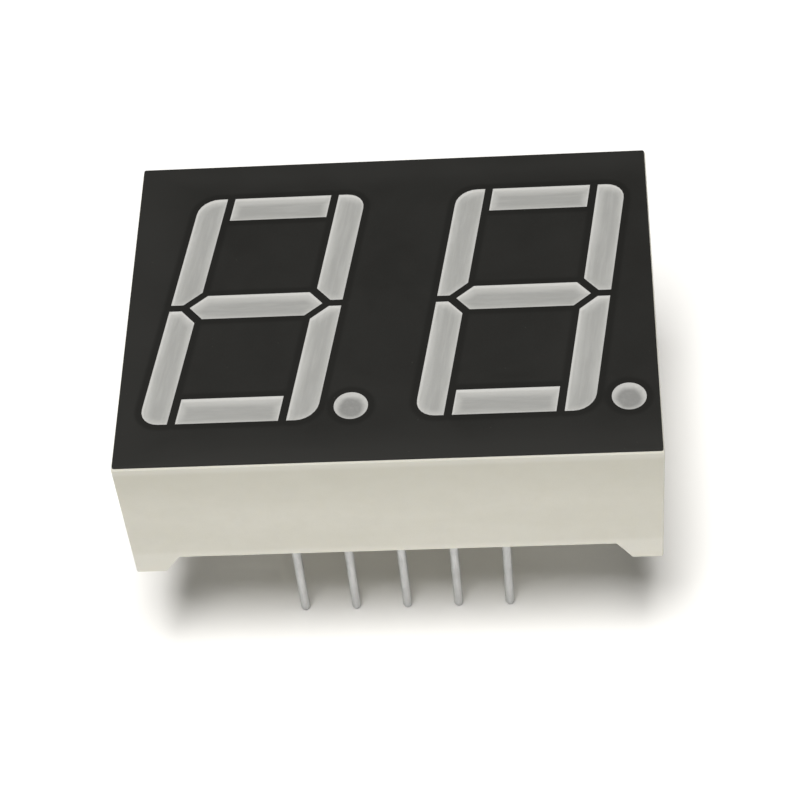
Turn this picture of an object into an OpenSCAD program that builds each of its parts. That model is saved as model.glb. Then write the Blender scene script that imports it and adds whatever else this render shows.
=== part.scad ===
// Two-digit seven segment LED display, through-hole.
// A white reflector housing with a black printed face, sixteen resin light
// wells, a circuit board with one chip per well, and ten round pins.
// Frame: +Z out of the face, +X along the digits, +Y to the top of the digits.
// Origin: centre of the pin pattern, on the plane where the feet meet the board
// that the display is soldered to.

/* [Body] */
// Width of the housing, along the digits
body_w = 25; // [24:0.5:30]
// Height of the housing, up the digits
body_h = 19; // [18:0.5:24]
// Thickness from the feet to the face
body_t = 8; // [7:0.5:12]
// Radius of the four upright corners
corner_r = 0.1; // [0.05:0.05:0.5]
// Bevel round the front edge, bare of ink
bevel = 0.06; // [0.03:0.01:0.2]
// Thickness of the black face layer
mask_t = 0.08; // [0.05:0.01:0.2]
// Thickness of the outer walls behind the reflector
wall = 1.1; // [0.8:0.1:1.2]

/* [Feet] */
// Height of the feet below the edge of the walls
foot_h = 1.1; // [0.5:0.1:1.4]
// Length of a foot along X, where it stands
foot_x = 1.45; // [1.2:0.05:3]
// Length of a foot along Y, where it stands
foot_y = 1.45; // [1.2:0.05:3]
// How far a foot's inner side slopes out to the wall
foot_slope = 0.75; // [0:0.05:1]

/* [Digits] */
// Distance between the two digits
digit_pitch = 12.7; // [12.3:0.1:13]
// Offset of the digits up the face
digit_dy = 0.1; // [0:0.05:0.3]
// Height of a digit
digit_h = 14.2; // [13:0.1:14.6]
// Width of a digit, square to its height
digit_w = 8.2; // [7.6:0.1:8.4]
// Slant of the digits in degrees
slant = 8; // [0:1:10]
// Width of the four upright strokes
stroke_v = 1.35; // [1.1:0.05:1.5]
// Width of the three level strokes
stroke_h = 1.46; // [1.1:0.02:1.6]
// Gap between neighbouring segments
gap = 0.38; // [0.3:0.02:0.5]
// Half length of the middle segment, to its points
tip = 3.17; // [3:0.01:3.3]
// Radius of the digit's four outer corners
round_r = 0.95; // [0.6:0.05:1.15]
// How much each light well narrows towards the board
well_scale = 0.55; // [0.5:0.05:0.8]

/* [Decimal points] */
// Diameter of a decimal point
dp_d = 1.58; // [1.3:0.02:1.7]
// Decimal point from the centre of its digit, along X
dp_x = 4.7; // [4.6:0.02:4.9]
// Decimal point from the centre of its digit, along Y
dp_y = -6.35; // [-6.5:0.05:-6]
// Diameter of its well at the board
dp_base_d = 1.1; // [1:0.05:1.2]

/* [Board and chips] */
// Thickness of the circuit board
board_t = 1; // [0.8:0.1:1.2]
// Gap between the board's edge and the walls
board_gap = 0.1; // [0.05:0.05:0.3]
// Thickness of the resin behind the board
seal_t = 0.55; // [0.5:0.05:0.6]
// Side of an LED chip
chip = 0.3; // [0.2:0.05:0.35]
// Height of an LED chip
chip_h = 0.22; // [0.15:0.01:0.25]

/* [Pins] */
// Distance between neighbouring pins
pin_pitch = 2.54;
// Distance between the two rows
row_pitch = 15.24;
// Diameter of a pin
pin_d = 0.45; // [0.4:0.01:0.6]
// Length of a pin beyond the feet
pin_l = 6; // [3:0.5:7]

/* [Hidden] */
$fn = 32;
e = 0.05;
pins_a_row = 5;
z_front = body_t - mask_t;           // front of the white housing
z_board_back = foot_h + 0.15 + seal_t; // back of the board, under the resin
z_seat = z_board_back + board_t;     // front of the board, where the wells end
z_seal = z_board_back - seal_t;      // outer surface of the rear resin
well_d = z_front - z_seat;           // depth of a light well
lean = tan(slant);
hw = digit_w / 2;
hh = digit_h / 2;
in_u = hw - stroke_v;                // inner edge of the upright strokes
cut = gap * sqrt(2);                 // gap along the level, at a 45 degree cut
pocket_w = body_w - 2 * wall;
pocket_h = body_h - 2 * wall;
board_w = pocket_w - 2 * board_gap;
board_h = pocket_h - 2 * board_gap;
grip_r = 0.27;                       // swaged, eight-sided grip of a pin in the board
hole_r = 0.3;                        // plated hole in the board
groove_w = 0.9;                      // groove in the housing over the pins' tops
wire = 0.05;                         // side of a bond wire's section

SEGMENTS = ["a", "b", "c", "d", "e", "f", "g"];
SIDES = [-1, 1];                     // left digit, right digit

// ---- outlines ----

// Rectangle about the origin with round corners, as points
function round_rect(w, h, r, n = 4) = [
  for (q = [0 : 3], i = [0 : n])
    let (a = 90 * q + 90 * i / n,
         cx = (q == 0 || q == 3 ? 1 : -1) * (w / 2 - r),
         cy = (q < 2 ? 1 : -1) * (h / 2 - r))
      [cx + r * cos(a), cy + r * sin(a)]
];

// Outline of the opening between two feet: u is half its width where they stand
function recess(u) =
  [[-u, -1], [u, -1], [u, 0], [u - foot_slope, foot_h], [foot_slope - u, foot_h], [-u, 0]];

// Upper left upright segment of an unslanted digit, anticlockwise
function upright() = concat(
  [[-hw, gap / 2],
   [-tip - cut + gap / 2, gap / 2],
   [-in_u, tip + cut - in_u],
   [-in_u, hh]],
  [for (i = [0 : 6]) let (t = 90 + 15 * i)
     [-hw + round_r + round_r * cos(t), hh - round_r + round_r * sin(t)]]
);

// Top segment and middle segment of an unslanted digit
function top_bar() = let (u = in_u - gap)
  [[-u, hh - stroke_h], [u, hh - stroke_h], [u, hh], [-u, hh]];
function middle_bar() = let (k = stroke_h / 2)
  [[-tip, 0], [-tip + k, -k], [tip - k, -k], [tip, 0], [tip - k, k], [-tip + k, k]];

function flip(p, su, sv) = [for (q = p) [su * q[0], sv * q[1]]];

// Outline of segment s, before the slant
function flat_outline(s) =
  s == "a" ? top_bar() :
  s == "b" ? flip(upright(), -1, 1) :
  s == "c" ? flip(upright(), -1, -1) :
  s == "d" ? flip(top_bar(), 1, -1) :
  s == "e" ? flip(upright(), 1, -1) :
  s == "f" ? upright() :
  middle_bar();

// Middle of segment s, before the slant
function flat_middle(s) =
  let (mu = (hw + in_u) / 2, mv = hh / 2)
  s == "a" ? [0, hh - stroke_h / 2] :
  s == "b" ? [mu, mv] :
  s == "c" ? [mu, -mv] :
  s == "d" ? [0, -hh + stroke_h / 2] :
  s == "e" ? [-mu, -mv] :
  s == "f" ? [-mu, mv] :
  [0, 0];

function slanted(p) = [p[0] + lean * p[1], p[1]];

// Middle of segment s (or "point") of a digit, in the frame
function place(s, side) =
  let (c = [side * digit_pitch / 2, digit_dy])
  s == "point" ? c + [dp_x, dp_y] : c + slanted(flat_middle(s));

// Outline of segment s about its own middle
function outline(s) =
  [for (q = flat_outline(s)) slanted(q) - slanted(flat_middle(s))];

// Direction of a segment's length, in degrees from +X
function along(s) =
  (s == "a" || s == "d" || s == "g" || s == "point") ? 0 : 90 - slant;

// Pin n, counted anticlockwise from the bottom left, seen from the face
function pin_at(n) =
  n <= pins_a_row
    ? [(n - 1 - (pins_a_row - 1) / 2) * pin_pitch, -row_pitch / 2]
    : [((pins_a_row - 1) / 2 - (n - 1 - pins_a_row)) * pin_pitch, row_pitch / 2];

// ---- resin light wells ----

// Segment s from the face down to the board, narrowing. below lengthens it behind the board's face.
module well(s, side, below = 0) {
  c = place(s, side);
  if (s == "point") {
    translate([c[0], c[1], z_seat]) cylinder(h = well_d, d1 = dp_base_d, d2 = dp_d);
    translate([c[0], c[1], z_front]) cylinder(h = mask_t, d = dp_d);
    if (below > 0)
      translate([c[0], c[1], z_seat - below]) cylinder(h = below, d = dp_base_d);
  } else {
    translate([c[0], c[1], z_front]) mirror([0, 0, 1])
      linear_extrude(height = well_d, scale = well_scale) polygon(outline(s));
    translate([c[0], c[1], z_front])
      linear_extrude(height = mask_t) polygon(outline(s));
    if (below > 0)
      translate([c[0], c[1], z_seat - below])
        linear_extrude(height = below)
          polygon([for (q = outline(s)) q * well_scale]);
  }
}

// Straight hole through the face layer, the shape of segment s
module face_hole(s, side) {
  c = place(s, side);
  translate([c[0], c[1], z_front - e])
    if (s == "point") cylinder(h = mask_t + 2 * e, d = dp_d);
    else linear_extrude(height = mask_t + 2 * e) polygon(outline(s));
}

// ---- chips and wires ----

// The chip sits a little to one side of the well's middle, to leave room for its wire
chip_off = 0.16;

module chip_block(s, side) {
  c = place(s, side);
  translate([c[0], c[1], z_seat]) rotate([0, 0, along(s)])
    translate([-chip_off - chip / 2, -chip / 2, 0]) cube([chip, chip, chip_h]);
}

// A bond wire: an arch from the chip's top to the board
wire_reach = 0.46;
function wire_mid(t) =
  [wire_reach * t, chip_h * (1 - t) + 0.62 * t * (1 - t)];
function wire_dir(t) =
  let (d = [wire_reach, -chip_h + 0.62 * (1 - 2 * t)]) d / norm(d);
function wire_side(t, k) =
  let (d = wire_dir(t)) wire_mid(t) + k * wire / 2 * [-d[1], d[0]];

module bond_wire(s, side) {
  c = place(s, side);
  n = 10;
  difference() {
    translate([c[0], c[1], z_seat]) rotate([0, 0, along(s)])
      translate([-chip_off, 0, 0]) rotate([90, 0, 0])
        linear_extrude(height = wire, center = true)
          polygon(concat(
            [for (i = [-1 : n + 1]) wire_side(i / n, -1)],
            [for (i = [n + 1 : -1 : -1]) wire_side(i / n, 1)]));
    chip_block(s, side);
    translate([c[0] - 2, c[1] - 2, z_seat - 1]) cube([4, 4, 1]);
  }
}

module segment(s, side) {
  color([0.78, 0.78, 0.76])
    difference() {
      well(s, side);
      chip_block(s, side);
      bond_wire(s, side);
    }
}

module chip(s, side) {
  color([0.72, 0.24, 0.2]) chip_block(s, side);
}

module bond_wires() {
  color([0.85, 0.7, 0.35])
    for (side = SIDES, s = concat(SEGMENTS, ["point"])) bond_wire(s, side);
}

// ---- housing and face ----

module reflector_housing() {
  slab_h = z_front - bevel;
  color([0.84, 0.82, 0.76])
    difference() {
      union() {
        linear_extrude(height = slab_h)
          polygon(round_rect(body_w, body_h, corner_r));
        translate([0, 0, slab_h])
          linear_extrude(height = bevel,
                         scale = [1 - 2 * bevel / body_w, 1 - 2 * bevel / body_h])
            polygon(round_rect(body_w, body_h, corner_r));
      }
      // rear pocket for the board and its resin
      translate([-pocket_w / 2, -pocket_h / 2, -1])
        cube([pocket_w, pocket_h, z_seat + 1]);
      // lowered edges between the feet
      rotate([90, 0, 0]) linear_extrude(height = 2 * body_h, center = true)
        polygon(recess(body_w / 2 - foot_x));
      rotate([90, 0, 90]) linear_extrude(height = 2 * body_w, center = true)
        polygon(recess(body_h / 2 - foot_y));
      // grooves for the tops of the pins
      for (sy = [-1, 1])
        translate([-pins_a_row * pin_pitch / 2, sy * row_pitch / 2 - groove_w / 2, z_seat - 0.5])
          cube([pins_a_row * pin_pitch, groove_w, 1]);
      for (side = SIDES, s = concat(SEGMENTS, ["point"])) well(s, side, 0.5);
    }
}

module front_mask() {
  color([0.13, 0.13, 0.125])
    difference() {
      translate([0, 0, z_front]) linear_extrude(height = mask_t)
        polygon([for (q = round_rect(body_w, body_h, corner_r))
                   [q[0] * (1 - 2 * bevel / body_w), q[1] * (1 - 2 * bevel / body_h)]]);
      for (side = SIDES, s = concat(SEGMENTS, ["point"])) face_hole(s, side);
    }
}

// ---- board, pins, solder and rear resin ----

module circuit_board() {
  w = board_w;
  h = board_h;
  color([0.72, 0.66, 0.42])
    difference() {
      translate([-w / 2, -h / 2, z_board_back]) cube([w, h, board_t]);
      for (n = [1 : 2 * pins_a_row])
        translate([pin_at(n)[0], pin_at(n)[1], z_board_back - 1])
          cylinder(h = board_t + 2, r = hole_r);
    }
}

// Round pin with a cut tip, and an eight-sided grip where it goes through the board
module pin_body(n) {
  p = pin_at(n);
  nose = 0.15;
  translate([p[0], p[1], 0]) {
    translate([0, 0, -pin_l + nose]) cylinder(h = pin_l - nose + foot_h, d = pin_d);
    translate([0, 0, -pin_l]) cylinder(h = nose, d1 = pin_d - 0.16, d2 = pin_d);
    translate([0, 0, foot_h]) cylinder(h = z_seat + 0.3 - foot_h, r = grip_r, $fn = 8);
  }
}

module pin(n) {
  color([0.76, 0.76, 0.74]) pin_body(n);
}

// Solder: fills the plated hole and makes a cone behind the board
module joint_body(n) {
  p = pin_at(n);
  translate([p[0], p[1], z_board_back - 0.4]) cylinder(h = 0.4, r1 = 0.32, r2 = 0.62);
  translate([p[0], p[1], z_board_back]) cylinder(h = board_t, r = hole_r);
}

module solder_joints() {
  color([0.68, 0.68, 0.68])
    for (n = [1 : 2 * pins_a_row])
      difference() { joint_body(n); pin_body(n); }
}

// Resin behind the board and in the gap round its edge
module rear_seal() {
  color([0.8, 0.77, 0.66])
    difference() {
      translate([-pocket_w / 2, -pocket_h / 2, z_seal])
        cube([pocket_w, pocket_h, z_seat - z_seal]);
      translate([-board_w / 2, -board_h / 2, z_board_back])
        cube([board_w, board_h, board_t + 1]);
      for (n = [1 : 2 * pins_a_row]) {
        p = pin_at(n);
        translate([p[0], p[1], z_board_back - 0.4]) cylinder(h = 0.4, r1 = 0.32, r2 = 0.62);
        translate([p[0], p[1], z_seal - 1]) cylinder(h = seal_t + 2, r = grip_r, $fn = 8);
      }
    }
}

reflector_housing();
front_mask();
segment("a", -1);  // left_segment_a
segment("b", -1);  // left_segment_b
segment("c", -1);  // left_segment_c
segment("d", -1);  // left_segment_d
segment("e", -1);  // left_segment_e
segment("f", -1);  // left_segment_f
segment("g", -1);  // left_segment_g
segment("point", -1);  // left_decimal_point
segment("a", 1);  // right_segment_a
segment("b", 1);  // right_segment_b
segment("c", 1);  // right_segment_c
segment("d", 1);  // right_segment_d
segment("e", 1);  // right_segment_e
segment("f", 1);  // right_segment_f
segment("g", 1);  // right_segment_g
segment("point", 1);  // right_decimal_point
circuit_board();
chip("a", -1);  // left_chip_a
chip("b", -1);  // left_chip_b
chip("c", -1);  // left_chip_c
chip("d", -1);  // left_chip_d
chip("e", -1);  // left_chip_e
chip("f", -1);  // left_chip_f
chip("g", -1);  // left_chip_g
chip("point", -1);  // left_chip_point
chip("a", 1);  // right_chip_a
chip("b", 1);  // right_chip_b
chip("c", 1);  // right_chip_c
chip("d", 1);  // right_chip_d
chip("e", 1);  // right_chip_e
chip("f", 1);  // right_chip_f
chip("g", 1);  // right_chip_g
chip("point", 1);  // right_chip_point
bond_wires();
rear_seal();
solder_joints();
pin(1);  // pin_1
pin(2);  // pin_2
pin(3);  // pin_3
pin(4);  // pin_4
pin(5);  // pin_5
pin(6);  // pin_6
pin(7);  // pin_7
pin(8);  // pin_8
pin(9);  // pin_9
pin(10);  // pin_10
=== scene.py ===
import bpy, bmesh, math
import numpy as np
from mathutils import Matrix, Vector, noise


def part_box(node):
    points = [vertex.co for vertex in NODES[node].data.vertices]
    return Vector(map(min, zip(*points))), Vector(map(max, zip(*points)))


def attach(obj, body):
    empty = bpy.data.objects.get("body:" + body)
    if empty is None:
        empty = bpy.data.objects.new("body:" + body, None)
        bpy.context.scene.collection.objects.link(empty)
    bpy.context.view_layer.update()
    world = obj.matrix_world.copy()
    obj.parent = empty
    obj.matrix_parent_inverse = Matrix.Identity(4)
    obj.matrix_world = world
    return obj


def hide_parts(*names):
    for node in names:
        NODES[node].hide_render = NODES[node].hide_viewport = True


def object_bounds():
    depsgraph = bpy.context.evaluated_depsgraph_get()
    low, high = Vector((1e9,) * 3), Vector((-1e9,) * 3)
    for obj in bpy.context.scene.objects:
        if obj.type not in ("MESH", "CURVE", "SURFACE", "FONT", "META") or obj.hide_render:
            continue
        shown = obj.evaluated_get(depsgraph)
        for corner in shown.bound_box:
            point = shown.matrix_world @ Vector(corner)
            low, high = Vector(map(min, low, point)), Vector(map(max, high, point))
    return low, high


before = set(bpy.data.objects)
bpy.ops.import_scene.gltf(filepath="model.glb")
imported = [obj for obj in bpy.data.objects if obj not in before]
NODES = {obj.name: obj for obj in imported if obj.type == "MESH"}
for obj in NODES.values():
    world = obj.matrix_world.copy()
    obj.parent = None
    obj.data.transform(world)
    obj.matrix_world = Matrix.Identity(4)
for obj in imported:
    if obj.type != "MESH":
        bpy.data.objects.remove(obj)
CAD_BOX = [list(c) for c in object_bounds()]
MM = 0.001
scene = bpy.context.scene
scene.view_settings.view_transform = "Standard"
scene.view_settings.look = "None"

# ---------------------------------------------------------------- camera
cam = bpy.data.objects.new("camera", bpy.data.cameras.new("camera"))
scene.collection.objects.link(cam)
scene.camera = cam
cam.data.sensor_width = 36
cam.data.lens = 112.914
cam.data.clip_start, cam.data.clip_end = 0.001, 10


def aim(rotvec, place):
    """The camera from a rotation vector (right, down, forward as rows) and its place in mm."""
    v = Vector(rotvec)
    r = Matrix.Rotation(v.length, 3, v.normalized())
    m = Matrix((r[0], -r[1], -r[2])).transposed().to_4x4()
    m.translation = Vector(place) * MM
    cam.matrix_world = m


CAMERA_ROTVEC = (2.44961, -0.01365, -0.09556)
CAMERA_PLACE = (8.117, -79.098, 96.231)
aim(CAMERA_ROTVEC, CAMERA_PLACE)


# ---------------------------------------------------------------- node helpers
class Tree:
    """A material with one Principled shader, and short ways to add nodes to it."""

    def __init__(self, name):
        self.mat = bpy.data.materials.new(name)
        self.mat.use_nodes = True
        self.nt = self.mat.node_tree
        self.nt.nodes.clear()
        self.out = self.nt.nodes.new("ShaderNodeOutputMaterial")
        self.bsdf = self.nt.nodes.new("ShaderNodeBsdfPrincipled")
        self.link(self.bsdf.outputs[0], self.out.inputs[0])
        self.coord = self.nt.nodes.new("ShaderNodeTexCoord").outputs["Object"]

    def link(self, a, b):
        self.nt.links.new(a, b)

    def put(self, socket, value):
        if isinstance(value, bpy.types.NodeSocket):
            self.link(value, socket)
        else:
            socket.default_value = value

    def set(self, **values):
        for k, v in values.items():
            self.put(self.bsdf.inputs[k.replace("_", " ")], v)

    def attr(self, name, kind="Fac"):
        n = self.nt.nodes.new("ShaderNodeAttribute")
        n.attribute_name = name
        return n.outputs[kind]

    def scaled(self, scale, offset=(0, 0, 0), vector=None, turn=(0, 0, 0)):
        n = self.nt.nodes.new("ShaderNodeMapping")
        self.link(vector or self.coord, n.inputs[0])
        n.inputs["Scale"].default_value = scale
        n.inputs["Location"].default_value = offset
        n.inputs["Rotation"].default_value = turn
        return n.outputs[0]

    def noise(self, size, detail=3.0, rough=0.55, vector=None, distort=0.0):
        """Noise with features of about size mm."""
        n = self.nt.nodes.new("ShaderNodeTexNoise")
        self.link(vector or self.coord, n.inputs["Vector"])
        n.inputs["Scale"].default_value = 1000.0 / size
        n.inputs["Detail"].default_value = detail
        n.inputs["Roughness"].default_value = rough
        n.inputs["Distortion"].default_value = distort
        return n.outputs[0]

    def voronoi(self, size, vector=None, feature="F1", out="Distance"):
        n = self.nt.nodes.new("ShaderNodeTexVoronoi")
        n.feature = feature
        self.link(vector or self.coord, n.inputs["Vector"])
        n.inputs["Scale"].default_value = 1000.0 / size
        return n.outputs[out]

    def math(self, op, a, b=0.0, c=0.0):
        n = self.nt.nodes.new("ShaderNodeMath")
        n.operation = op
        for s, v in zip(n.inputs, (a, b, c)):
            self.put(s, v)
        return n.outputs[0]

    def ramp(self, value, lo, hi, a, b, smooth=True):
        """value from lo..hi to a..b."""
        n = self.nt.nodes.new("ShaderNodeMapRange")
        n.interpolation_type = "SMOOTHSTEP" if smooth else "LINEAR"
        self.put(n.inputs[0], value)
        for s, v in zip(list(n.inputs)[1:5], (lo, hi, a, b)):
            self.put(s, v)
        return n.outputs[0]

    def mix(self, fac, a, b, mode="MIX"):
        n = self.nt.nodes.new("ShaderNodeMix")
        n.data_type, n.blend_type = "RGBA", mode
        for i, v in ((0, fac), (6, a), (7, b)):
            if isinstance(v, tuple) and len(v) == 3:
                v = (*v, 1.0)
            self.put(n.inputs[i], v)
        return n.outputs[2]

    def bump(self, *layers):
        """layers are (height socket, distance in mm, strength)."""
        last = None
        for height, distance, strength in layers:
            n = self.nt.nodes.new("ShaderNodeBump")
            n.inputs["Strength"].default_value = strength
            n.inputs["Distance"].default_value = distance * MM
            self.link(height, n.inputs["Height"])
            if last is not None:
                self.link(last, n.inputs["Normal"])
            last = n.outputs[0]
        self.link(last, self.bsdf.inputs["Normal"])


def xyz(t, vector=None):
    n = t.nt.nodes.new("ShaderNodeSeparateXYZ")
    t.link(vector or t.coord, n.inputs[0])
    return n.outputs


# ---------------------------------------------------------------- materials
def housing_plastic():
    t = Tree("housing_plastic")
    x, y, z = xyz(t)
    flow = t.noise(3.2, 4, 0.6, t.scaled((0.35, 0.35, 1.6)), 0.6)
    mottle = t.noise(0.9, 3, 0.6)
    grain = t.noise(0.085, 3, 0.6)
    base = t.mix(t.ramp(flow, 0.3, 0.7, 0, 1), (0.619, 0.608, 0.537), (0.644, 0.633, 0.566))
    base = t.mix(t.ramp(mottle, 0.35, 0.75, 0, 0.35), base, (0.598, 0.587, 0.518))
    # painted shade: a little darker towards the top of the wall; painted highlight: lighter along its lower edge
    base = t.mix(t.ramp(z, 0.0040, 0.0076, 0, 0.5), base, (0.507, 0.498, 0.426))
    base = t.mix(t.ramp(z, 0.00165, 0.00125, 0, 0.5), base, (0.721, 0.711, 0.653))
    # painted highlight: a lighter band along the top of the wall, just under the face
    base = t.mix(t.ramp(z, 0.00735, 0.00770, 0, 0.55), base, (0.674, 0.667, 0.617))
    base = t.mix(t.ramp(grain, 0.55, 0.80, 0, 0.30), base, (0.559, 0.549, 0.483))
    specks = t.voronoi(0.55, t.scaled((1, 1, 1), (0.003, 0.001, 0)))
    base = t.mix(t.ramp(specks, 0.05, 0.015, 0, 0.35), base, (0.502, 0.460, 0.376))
    # a breath of ink on the bare edge round the face
    base = t.mix(t.ramp(z, 0.00785, 0.00790, 0, 0.25), base, (0.481, 0.465, 0.413))
    t.set(Base_Color=base, Roughness=t.ramp(mottle, 0.3, 0.75, 0.40, 0.56), Specular_IOR_Level=0.42, IOR=1.52,
          Subsurface_Weight=0.18, Subsurface_Radius=(0.9, 0.75, 0.5), Subsurface_Scale=0.0006)
    t.bump((grain, 0.009, 0.65), (flow, 0.02, 0.35), (mottle, 0.012, 0.35))
    return t.mat


def face_ink():
    t = Tree("face_ink")
    cloud = t.noise(4.5, 4, 0.6, None, 0.4)
    peel = t.noise(0.22, 3, 0.6)
    grain = t.noise(0.045, 2, 0.6)
    base = t.mix(t.ramp(cloud, 0.3, 0.72, 0, 1), (0.0115, 0.0115, 0.0108), (0.0140, 0.0141, 0.0133))
    base = t.mix(t.ramp(grain, 0.45, 0.8, 0, 0.5), base, (0.0203, 0.0203, 0.0191))
    # painted light: a little lighter to the left and along the upper and lower edges
    x, y, z = xyz(t)
    painted_light_fac = t.math("MAXIMUM", t.ramp(x, -0.0085, -0.0120, 0, 1), t.ramp(t.math("ABSOLUTE", y), 0.0072, 0.0090, 0, 1))
    base = t.mix(t.math("MULTIPLY", painted_light_fac, 0.6), base, (0.0207, 0.0208, 0.0199))
    # painted dark outline: darker round the openings
    base = t.mix(t.ramp(t.attr("near"), 0.44, 0.22, 0, 0.62), base, (0.0059, 0.0059, 0.0053))
    dust = t.voronoi(0.9, t.scaled((1, 1, 1), (0.004, 0.002, 0.001)))
    base = t.mix(t.ramp(dust, 0.035, 0.012, 0, 0.30), base, (0.0936, 0.0936, 0.0858))
    rub = t.noise(2.2, 5, 0.7, t.scaled((0.25, 2.2, 1), (0, 0, 0), None, (0, 0, 0.35)))
    rough = t.math("ADD", t.ramp(cloud, 0.3, 0.7, 0.58, 0.68), t.ramp(rub, 0.52, 0.72, 0.0, -0.07))
    t.set(Base_Color=base, Roughness=rough, Specular_IOR_Level=0.17, IOR=1.5)
    t.bump((peel, 0.010, 0.32), (grain, 0.0035, 0.5), (cloud, 0.05, 0.12))
    return t.mat


def segment_resin():
    """Milky resin: lighter over the white walls of its well, greyer over the middle, where the board lies deep below."""
    t = Tree("segment_resin")
    rim = t.attr("rim")  # mm from the edge of the well's floor
    grain = t.attr("grain", "Vector")  # along and across the segment, in metres
    streak = t.noise(0.55, 4, 0.62, t.scaled((0.16, 1.0, 1.0), (0, 0, 0), grain), 0.35)
    cloud = t.noise(1.5, 3, 0.6, t.scaled((0.5, 1.0, 1.0), (0.01, 0, 0), grain), 0.3)
    depth = t.ramp(rim, 0.0, 0.50, 0, 1)
    depth = t.math("ADD", depth, t.math("MULTIPLY", t.math("SUBTRACT", cloud, 0.5), 0.45))
    depth = t.math("MAXIMUM", t.math("MINIMUM", depth, 1.0), 0.0)
    base = t.mix(depth, (0.420, 0.425, 0.422), (0.310, 0.315, 0.312))
    base = t.mix(t.ramp(streak, 0.36, 0.68, 0, 0.55), base, (0.287, 0.292, 0.288))
    line = t.noise(0.20, 3, 0.6, t.scaled((0.10, 1.0, 1.0), (0.002, 0, 0), grain))
    base = t.mix(t.ramp(line, 0.40, 0.72, 0, 0.28), base, (0.414, 0.418, 0.416))
    # level segments are a little greyer than upright ones
    base = t.mix(t.ramp(t.attr("tone"), 0, 1, 0, 0.12), base, (0.221, 0.225, 0.222))
    base = t.mix(t.ramp(t.attr("band"), 0.64, 0.18, 0, 0.55), base, (0.447, 0.450, 0.445))
    base = t.mix(t.ramp(t.attr("edge"), 0.12, 0.02, 0, 0.30), base, (0.508, 0.512, 0.507))
    base = t.mix(t.ramp(rim, 0.10, 0.0, 0, 0.45), base, (0.574, 0.577, 0.570))
    t.set(Base_Color=base, Roughness=t.ramp(streak, 0.3, 0.7, 0.30, 0.42), Specular_IOR_Level=0.4, IOR=1.54,
          Subsurface_Weight=0.22, Subsurface_Radius=(1.0, 0.95, 0.85), Subsurface_Scale=0.0004,
          Coat_Weight=0.12, Coat_Roughness=0.18)
    t.bump((t.noise(0.07, 2, 0.5), 0.003, 0.4), (streak, 0.008, 0.25))
    return t.mat


def point_resin():
    """The same resin in a round well: a light ring over the cone's wall and a grey disc over its floor."""
    t = Tree("point_resin")
    rim = t.attr("rim")
    cloud = t.noise(0.5, 3, 0.6)
    fine = t.noise(0.12, 3, 0.6)
    at = t.math("ADD", rim, t.math("MULTIPLY", t.math("SUBTRACT", cloud, 0.5), 0.22))
    base = t.mix(t.ramp(at, 0.02, 0.38, 0, 1), (0.430, 0.434, 0.432), (0.215, 0.218, 0.217))
    base = t.mix(t.ramp(at, 0.62, 0.84, 0, 0.35), base, (0.258, 0.258, 0.251))
    base = t.mix(t.ramp(fine, 0.4, 0.75, 0, 0.28), base, (0.297, 0.301, 0.298))
    t.set(Base_Color=base, Roughness=t.ramp(cloud, 0.3, 0.7, 0.28, 0.40), Specular_IOR_Level=0.4, IOR=1.54,
          Subsurface_Weight=0.12, Subsurface_Radius=(1.0, 0.95, 0.85), Subsurface_Scale=0.0002,
          Coat_Weight=0.12, Coat_Roughness=0.18)
    t.bump((t.noise(0.07, 2, 0.5), 0.003, 0.4), (cloud, 0.01, 0.25))
    return t.mat


def pin_metal():
    t = Tree("pin_metal")
    streak = t.noise(0.12, 4, 0.6, t.scaled((1, 1, 0.12)), 0.4)
    cloud = t.noise(0.8, 3, 0.6)
    base = t.mix(t.ramp(streak, 0.32, 0.7, 0, 1), (0.578, 0.586, 0.588), (0.474, 0.480, 0.482))
    base = t.mix(t.ramp(cloud, 0.5, 0.8, 0, 0.35), base, (0.425, 0.430, 0.427))
    # painted light: brighter towards the cut end, near the bright floor
    base = t.mix(t.ramp(xyz(t)[2], -0.0025, -0.0058, 0, 0.35), base, (0.66, 0.667, 0.670))
    t.set(Base_Color=base, Metallic=0.8, Roughness=t.ramp(cloud, 0.3, 0.7, 0.42, 0.58))
    t.bump((streak, 0.008, 0.5), (t.noise(0.05, 2, 0.5), 0.003, 0.45))
    return t.mat


def seal_resin():
    t = Tree("seal_resin")
    cloud = t.noise(3.0, 4, 0.62, None, 0.5)
    fine = t.noise(0.35, 3, 0.6)
    base = t.mix(t.ramp(cloud, 0.3, 0.72, 0, 1), (0.48, 0.455, 0.37), (0.55, 0.53, 0.45))
    base = t.mix(t.ramp(fine, 0.5, 0.8, 0, 0.25), base, (0.42, 0.39, 0.31))
    bubble = t.voronoi(1.35, t.scaled((1, 1, 0.2), (0.002, 0.001, 0)))
    base = t.mix(t.ramp(bubble, 0.07, 0.045, 0, 0.45), base, (0.66, 0.64, 0.57))
    t.set(Base_Color=base, Roughness=t.ramp(fine, 0.3, 0.7, 0.16, 0.26), Specular_IOR_Level=0.5, IOR=1.55,
          Subsurface_Weight=0.25, Subsurface_Radius=(1.0, 0.85, 0.55), Subsurface_Scale=0.0006,
          Coat_Weight=0.3, Coat_Roughness=0.08)
    t.bump((cloud, 0.05, 0.25), (fine, 0.012, 0.25), (t.ramp(bubble, 0.08, 0.03, 0, 1), 0.02, 0.6))
    return t.mat


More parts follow.
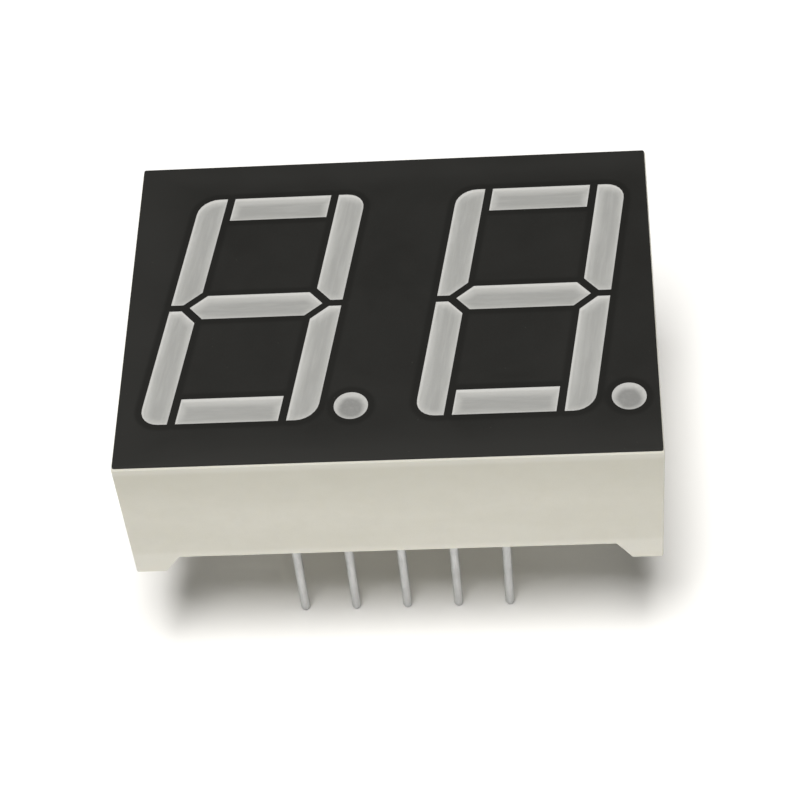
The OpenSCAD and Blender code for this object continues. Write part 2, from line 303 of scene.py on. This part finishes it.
def board_laminate():
    t = Tree("board_laminate")
    x, y, z = xyz(t)
    warp = t.math("SINE", t.math("MULTIPLY", x, 2 * math.pi / 0.00045))
    weft = t.math("SINE", t.math("MULTIPLY", y, 2 * math.pi / 0.00050))
    weave = t.math("MULTIPLY", warp, weft)
    cloud = t.noise(1.8, 3, 0.6)
    base = t.mix(t.ramp(weave, -1, 1, 0, 1), (0.40, 0.345, 0.165), (0.50, 0.44, 0.235))
    base = t.mix(t.ramp(cloud, 0.4, 0.7, 0, 0.4), base, (0.36, 0.33, 0.17))
    t.set(Base_Color=base, Roughness=t.ramp(cloud, 0.3, 0.7, 0.38, 0.52), Specular_IOR_Level=0.45)
    t.bump((weave, 0.012, 0.5), (t.noise(0.08, 2, 0.5), 0.004, 0.4))
    return t.mat


def chip_crystal():
    t = Tree("chip_crystal")
    x, y, z = xyz(t)
    layer = t.ramp(z, 0.00287, 0.00289, 0, 1)
    grain = t.noise(0.03, 3, 0.6)
    base = t.mix(layer, (0.10, 0.10, 0.115), (0.46, 0.155, 0.105))
    base = t.mix(t.ramp(grain, 0.4, 0.75, 0, 0.5), base, (0.22, 0.13, 0.11))
    t.set(Base_Color=base, Roughness=t.ramp(grain, 0.3, 0.7, 0.30, 0.55), Specular_IOR_Level=0.6)
    t.bump((grain, 0.004, 0.6), (t.noise(0.1, 2, 0.5, t.scaled((1, 1, 8))), 0.004, 0.3))
    return t.mat


def bond_metal():
    t = Tree("bond_metal")
    grain = t.noise(0.03, 3, 0.6)
    base = t.mix(t.ramp(grain, 0.35, 0.7, 0, 1), (0.93, 0.71, 0.33), (0.82, 0.58, 0.23))
    t.set(Base_Color=base, Metallic=1.0, Roughness=t.ramp(grain, 0.3, 0.7, 0.18, 0.32))
    t.bump((grain, 0.002, 0.4))
    return t.mat


def solder():
    t = Tree("solder")
    crystal = t.voronoi(0.12, None, "F1", "Distance")
    cloud = t.noise(0.3, 3, 0.6)
    base = t.mix(t.ramp(cloud, 0.35, 0.7, 0, 1), (0.74, 0.74, 0.75), (0.56, 0.56, 0.57))
    t.set(Base_Color=base, Metallic=1.0, Roughness=t.ramp(cloud, 0.3, 0.7, 0.18, 0.38))
    t.bump((crystal, 0.006, 0.4), (cloud, 0.012, 0.4))
    return t.mat


M = {f.__name__: f() for f in (housing_plastic, face_ink, segment_resin, point_resin, pin_metal, seal_resin,
                               board_laminate, chip_crystal, bond_metal, solder)}


# ---------------------------------------------------------------- mesh helpers
def piece(name, bm, material, node, smooth=32, weighted=False):
    """A finished piece from a bmesh in metres: it stands for node and rides on the one body."""
    me = bpy.data.meshes.new(name)
    bm.normal_update()
    bm.to_mesh(me)
    bm.free()
    me.polygons.foreach_set("use_smooth", [True] * len(me.polygons))
    me.set_sharp_from_angle(angle=math.radians(smooth))
    me.materials.append(material)
    o = bpy.data.objects.new(name, me)
    scene.collection.objects.link(o)
    if weighted:
        w = o.modifiers.new("normals", "WEIGHTED_NORMAL")
        w.keep_sharp = True
        w.weight = 80
    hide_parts(node)
    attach(o, "root")
    return o


def cad_copy(node):
    """The node's mesh, with its flat faces whole again."""
    bm = bmesh.new()
    bm.from_mesh(NODES[node].data)
    bmesh.ops.remove_doubles(bm, verts=bm.verts, dist=2e-7)
    bmesh.ops.dissolve_limit(bm, angle_limit=0.004, verts=bm.verts, edges=bm.edges, delimit=set())
    bm.normal_update()
    return bm


def cut(bm, point, normal):
    bmesh.ops.bisect_plane(bm, geom=list(bm.verts) + list(bm.edges) + list(bm.faces), dist=1e-8,
                           plane_co=point, plane_no=normal)


def turn_of(edge):
    return edge.calc_face_angle(0.0) if len(edge.link_faces) == 2 else 0.0


# ---------------------------------------------------------------- housing and face
def make_housing():
    """The moulding, with a small radius on every outside edge."""
    bm = cad_copy("reflector_housing")
    lo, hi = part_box("reflector_housing")

    def outside(p):
        skin = min(p.x - lo[0], hi[0] - p.x, p.y - lo[1], hi[1] - p.y)
        return skin < 0.12 * MM or p.z < 1.11 * MM

    edges = [e for e in bm.edges
             if turn_of(e) > math.radians(28) and all(outside(v.co) for v in e.verts)
             and max(v.co.z for v in e.verts) < hi[2] - 0.02 * MM]
    bmesh.ops.bevel(bm, geom=edges, offset=0.07 * MM, offset_type="OFFSET", segments=3, profile=0.5,
                    affect="EDGES", clamp_overlap=True)
    top = [e for e in bm.edges if turn_of(e) > math.radians(28)
           and all(abs(v.co.z - hi[2]) < 1e-6 and min(v.co.x - lo[0], hi[0] - v.co.x, v.co.y - lo[1], hi[1] - v.co.y) < 0.14 * MM
                   for v in e.verts)]
    bmesh.ops.bevel(bm, geom=top, offset=0.02 * MM, offset_type="OFFSET", segments=2, profile=0.5,
                    affect="EDGES", clamp_overlap=True)
    return piece("housing_moulding", bm, M["housing_plastic"], "reflector_housing", 40, True)


def make_face():
    """The printed layer, with the soft edge that ink has."""
    bm = cad_copy("front_mask")
    lo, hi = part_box("front_mask")
    edges = [e for e in bm.edges if turn_of(e) > math.radians(60) and all(abs(v.co.z - hi[2]) < 1e-6 for v in e.verts)]
    outline = [(a.co.copy(), b.co.copy()) for a, b in (e.verts for e in edges)]
    outline = [(a, b) for a, b in outline if max(abs(a.x), abs(b.x)) < 0.0122 and max(abs(a.y), abs(b.y)) < 0.0092]
    bmesh.ops.bevel(bm, geom=edges, offset=0.022 * MM, offset_type="OFFSET", segments=3, profile=0.6,
                    affect="EDGES", clamp_overlap=True)
    bmesh.ops.triangulate(bm, faces=bm.faces)
    step = 0.16 * MM
    for axis, reach in ((Vector((1, 0, 0)), 0.0120), (Vector((0, 1, 0)), 0.0084)):
        for i in range(int(reach / step) + 1):
            for side in (-1, 1):
                cut(bm, axis * side * (i + 0.5) * step, axis)
    near = bm.verts.layers.float.new("near")
    starts = np.array([a.to_tuple(6)[:2] for a, b in outline])
    spans = np.array([b.to_tuple(6)[:2] for a, b in outline]) - starts
    length = np.maximum((spans ** 2).sum(1), 1e-16)
    for w in bm.verts:
        q = np.array((w.co.x, w.co.y)) - starts
        k = np.clip((q * spans).sum(1) / length, 0, 1)
        w[near] = float(np.sqrt(((q - spans * k[:, None]) ** 2).sum(1)).min()) / MM
    return piece("face_layer", bm, M["face_ink"], "front_mask", 40, True)


make_housing()
make_face()


# ---------------------------------------------------------------- resin in the light wells
SLANT = math.radians(8)


def top_lines(bm, z):
    """The outline of the face at height z, as (point, inward normal) of each edge."""
    lines = []
    for e in bm.edges:
        a, b = (v.co for v in e.verts)
        if abs(a.z - z) > 1e-6 or abs(b.z - z) > 1e-6:
            continue
        flats = [f for f in e.link_faces if abs(f.normal.z) > 0.99 and abs(f.calc_center_median().z - z) < 1e-6]
        if len(flats) != 1:
            continue
        d = (b - a).normalized()
        n = Vector((-d.y, d.x, 0))
        if n.dot(flats[0].calc_center_median() - a) < 0:
            n = -n
        lines.append((a.copy(), n))
    return lines


def make_window(side, k):
    node = f"{side}_segment_{k}" if k != "point" else f"{side}_decimal_point"
    bm = cad_copy(node)
    lo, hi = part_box(node)
    z = hi[2]
    lines = top_lines(bm, z)
    level = k in "adg" or k == "point"
    u = Vector((1, 0, 0)) if level else Vector((math.sin(SLANT), math.cos(SLANT), 0))
    v = Vector((-u.y, u.x, 0))
    mid = (Vector(lo) + Vector(hi)) / 2
    # rows along each edge, for the meniscus, then a fine grid
    for p, n in lines if k != "point" else ():
        for d in (0.035, 0.09, 0.18):
            cut(bm, p + n * d * MM, n)
    reach = (Vector(hi) - Vector(lo)).length / 2
    for axis, step in ((u, 0.16 * MM if k != "point" else 0.055 * MM), (v, 0.11 * MM if k != "point" else 0.055 * MM)):
        n = int(reach / step) + 1
        for i in range(-n, n + 1):
            cut(bm, mid + axis * step * (i + 0.5), axis)
    rim = bm.verts.layers.float.new("rim")
    tone = bm.verts.layers.float.new("tone")
    band = bm.verts.layers.float.new("band")
    edge = bm.verts.layers.float.new("edge")
    grain = bm.verts.layers.float_vector.new("grain")
    # the well's floor shows a little off the middle, so the light band is wider along the upper and left edges
    off = Vector((0.0 if level else -0.045, 0.11, 0)) * MM

    def lag(n):
        """How far an edge's light band is held back, in mm: least at the upper edge of a level segment and at the ends."""
        return 0.21 + 0.21 * n.y if level else 0.16 + 0.07 * n.y + 0.9 * (1 - abs(n.dot(u)))

    seed = Vector((sum(ord(c) for c in node) * 0.37, 0, 0))
    for w in bm.verts:
        flat = Vector((w.co.x, w.co.y, 0))
        d = max(0.0, min((flat - Vector((p.x, p.y, 0))).dot(n) for p, n in lines)) / MM
        q = w.co - mid
        w[grain] = (q.dot(u) + seed.x * MM * 20, q.dot(v), w.co.z - z)
        w[tone] = 1.0 if level and k != "point" else 0.0
        w[edge] = d
        w[band] = min((flat - Vector((p.x, p.y, 0))).dot(n) / MM + lag(n) for p, n in lines)
        w[rim] = max(0.0, min((flat + off - Vector((p.x, p.y, 0))).dot(n) for p, n in lines)) / MM
        if abs(w.co.z - z) < 1e-6 and d > 0:
            sink = 0.020 * (1 - math.exp(-d / 0.16)) + 0.004 * (0.5 + 0.5 * noise.noise(w.co / MM * 0.9 + seed)) * min(1, d / 0.2)
            w.co.z -= sink * MM
    m = M["point_resin"] if k == "point" else M["segment_resin"]
    return piece(f"window_{side}_{k}", bm, m, node, 40)


for side in ("left", "right"):
    for k in ("a", "b", "c", "d", "e", "f", "g", "point"):
        make_window(side, k)


# ---------------------------------------------------------------- pins
PINS = [(x * 2.54, -7.62) for x in (-2, -1, 0, 1, 2)] + [(x * 2.54, 7.62) for x in (2, 1, 0, -1, -2)]


def make_pin(n, x, y):
    """Tinned wire: a sheared, slightly rounded tip, an uneven coat, and the eight-sided grip in the board."""
    node = f"pin_{n}"
    lo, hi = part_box(node)
    z0, z1 = lo[2] / MM, hi[2] / MM
    rings = [(0.135, z0), (0.150, z0 + 0.006), (0.172, z0 + 0.028), (0.196, z0 + 0.065), (0.214, z0 + 0.115), (0.2235, z0 + 0.18)]
    z = z0 + 0.30
    while z < 1.0:
        rings.append((0.225, z))
        z += 0.16
    rings += [(0.225, 1.08), (0.2255, 1.10)]
    bm = bmesh.new()
    count = 40
    off = Vector((n * 3.1, n * 1.7, 0))
    last = None
    for i, (r, z) in enumerate(rings):
        row = []
        for j in range(count):
            a = 2 * math.pi * j / count
            c = Vector((math.cos(a), math.sin(a), 0))
            rr = r
            if 5 < i < len(rings) - 1:
                rr -= 0.0035 * (0.5 + 0.5 * noise.noise(Vector((c.x * 1.2, c.y * 1.2, z * 1.1)) + off))
            row.append(bm.verts.new(Vector((x + rr * c.x, y + rr * c.y, z)) * MM))
        if last:
            for j in range(count):
                bm.faces.new((last[j], last[(j + 1) % count], row[(j + 1) % count], row[j]))
        else:
            bm.faces.new(list(reversed(row)))
        last = row
    # the grip, eight-sided as in the part
    eight = []
    for zz in (1.10, z1):
        eight.append([bm.verts.new(Vector((x + 0.27 * math.cos(math.pi / 4 * j), y + 0.27 * math.sin(math.pi / 4 * j), zz)) * MM)
                      for j in range(8)])
    bm.faces.new(list(eight[1]))
    for j in range(8):
        bm.faces.new((eight[0][j], eight[0][(j + 1) % 8], eight[1][(j + 1) % 8], eight[1][j]))
        # the step between round and eight-sided: five round steps to each flat
        fan = [last[(5 * j + i) % count] for i in range(6)]
        bm.faces.new([eight[0][(j + 1) % 8], eight[0][j], *fan])
    bmesh.ops.recalc_face_normals(bm, faces=bm.faces)
    return piece(f"pin_wire_{n}", bm, M["pin_metal"], node, 35)


for n, (x, y) in enumerate(PINS, 1):
    make_pin(n, x, y)


# ---------------------------------------------------------------- resin over the back
def make_seal():
    """Poured resin: it climbs the walls and the pins a little, and its surface is not quite flat."""
    bm = cad_copy("rear_seal")
    lo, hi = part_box("rear_seal")
    z = lo[2]
    w2, h2 = (hi[0] - lo[0]) / 2, (hi[1] - lo[1]) / 2
    for axis, half in ((Vector((1, 0, 0)), w2), (Vector((0, 1, 0)), h2)):
        at = [half - d * MM for d in (0.04, 0.1, 0.19, 0.32, 0.5)]
        step = 0.34 * MM
        n = int((half - 0.5 * MM) / step)
        cuts = sorted({round(s * a, 9) for a in at for s in (-1, 1)} | {round(i * step, 9) for i in range(-n, n + 1)})
        for c in cuts:
            cut(bm, axis * c, axis)
    for px, py in PINS:
        # finer rows round each pin
        for s in (-0.75, -0.5, -0.36, -0.3, 0.3, 0.36, 0.5, 0.75):
            for axis in (Vector((1, 0, 0)), Vector((0, 1, 0))):
                c = Vector((px, py, 0)) * MM + axis * s * MM
                near = [f for f in bm.faces
                        if max(abs(f.calc_center_median().x / MM - px), abs(f.calc_center_median().y / MM - py)) < 0.9]
                geom = list({v for f in near for v in f.verts}) + list({e for f in near for e in f.edges}) + near
                bmesh.ops.bisect_plane(bm, geom=geom, dist=1e-8, plane_co=c, plane_no=axis)
    for v in bm.verts:
        if abs(v.co.z - z) > 1e-6:
            continue
        x, y = v.co.x / MM, v.co.y / MM
        wall = min(w2 / MM - abs(x), h2 / MM - abs(y))
        pin = min(math.hypot(x - px, y - py) for px, py in PINS)
        climb = 0.085 * math.exp(-max(0, wall) / 0.24) + 0.135 * math.exp(-max(0, pin - 0.26) / 0.16)
        wave = 0.035 * noise.noise(Vector((x * 0.22, y * 0.22, 1.3))) + 0.012 * noise.noise(Vector((x * 0.7, y * 0.7, 4.1)))
        v.co.z += (wave * min(1, max(0, wall) / 0.6) + 0.03 * min(1, max(0, wall) / 1.5) - min(climb, 0.15)) * MM
    return piece("rear_resin", bm, M["seal_resin"], "rear_seal", 50)


make_seal()

# ---------------------------------------------------------------- pieces that keep the CAD shape
for name, o in NODES.items():
    if name == "circuit_board":
        m = "board_laminate"
    elif "_chip_" in name:
        m = "chip_crystal"
    elif name == "bond_wires":
        m = "bond_metal"
    elif name == "solder_joints":
        m = "solder"
    else:
        continue
    o.data.materials.clear()
    o.data.materials.append(M[m])

# ---------------------------------------------------------------- floor, lights
FLOOR_Z = CAD_BOX[0][2]


def floor_material():
    """Plain white paper, the same all over."""
    t = Tree("floor_paper")
    t.set(Base_Color=(0.90, 0.905, 0.915, 1.0), Roughness=0.9, Specular_IOR_Level=0.1)
    return t.mat


bm = bmesh.new()
bmesh.ops.create_grid(bm, x_segments=8, y_segments=8, size=0.25)
me = bpy.data.meshes.new("floor")
bm.to_mesh(me)
bm.free()
me.materials.append(floor_material())
floor = bpy.data.objects.new("floor", me)
scene.collection.objects.link(floor)
floor.location = (0, 0, FLOOR_Z)

world = bpy.data.worlds.new("studio")
scene.world = world
world.use_nodes = True
sky = world.node_tree
sky.nodes["Background"].inputs[0].default_value = (1.0, 1.0, 1.0, 1.0)
# faint as a light, pale as a backdrop
direct = sky.nodes.new("ShaderNodeLightPath").outputs["Is Camera Ray"]
level = sky.nodes.new("ShaderNodeMapRange")
level.inputs[3].default_value, level.inputs[4].default_value = 0.03, 0.88
sky.links.new(direct, level.inputs[0])
sky.links.new(level.outputs[0], sky.nodes["Background"].inputs[1])


def area(name, place, target, size, power, colour=(1, 1, 1)):
    """A soft box, size = (wide, long) in metres."""
    d = bpy.data.lights.new(name, "AREA")
    d.shape, d.size, d.size_y, d.energy, d.color = "RECTANGLE", *size, power, colour
    o = bpy.data.objects.new(name, d)
    scene.collection.objects.link(o)
    o.location = place
    o.rotation_mode = "QUATERNION"
    o.rotation_quaternion = (Vector(target) - Vector(place)).to_track_quat("-Z", "Y")
    return o


WARM = (1.0, 0.978, 0.935)
area("key", (-0.021, -0.095, 0.480), (0, 0, 0), (0.19, 0.29), 3.16, WARM)
area("left", (-0.33, -0.02, 0.35), (0, 0, 0), (0.15, 0.15), 0.12, WARM)
area("right", (0.33, -0.02, 0.35), (0, 0, 0), (0.15, 0.15), 0.10, WARM)
area("front", (0.05, -0.45, 0.10), (0, 0, 0), (0.20, 0.15), 0.20, WARM)
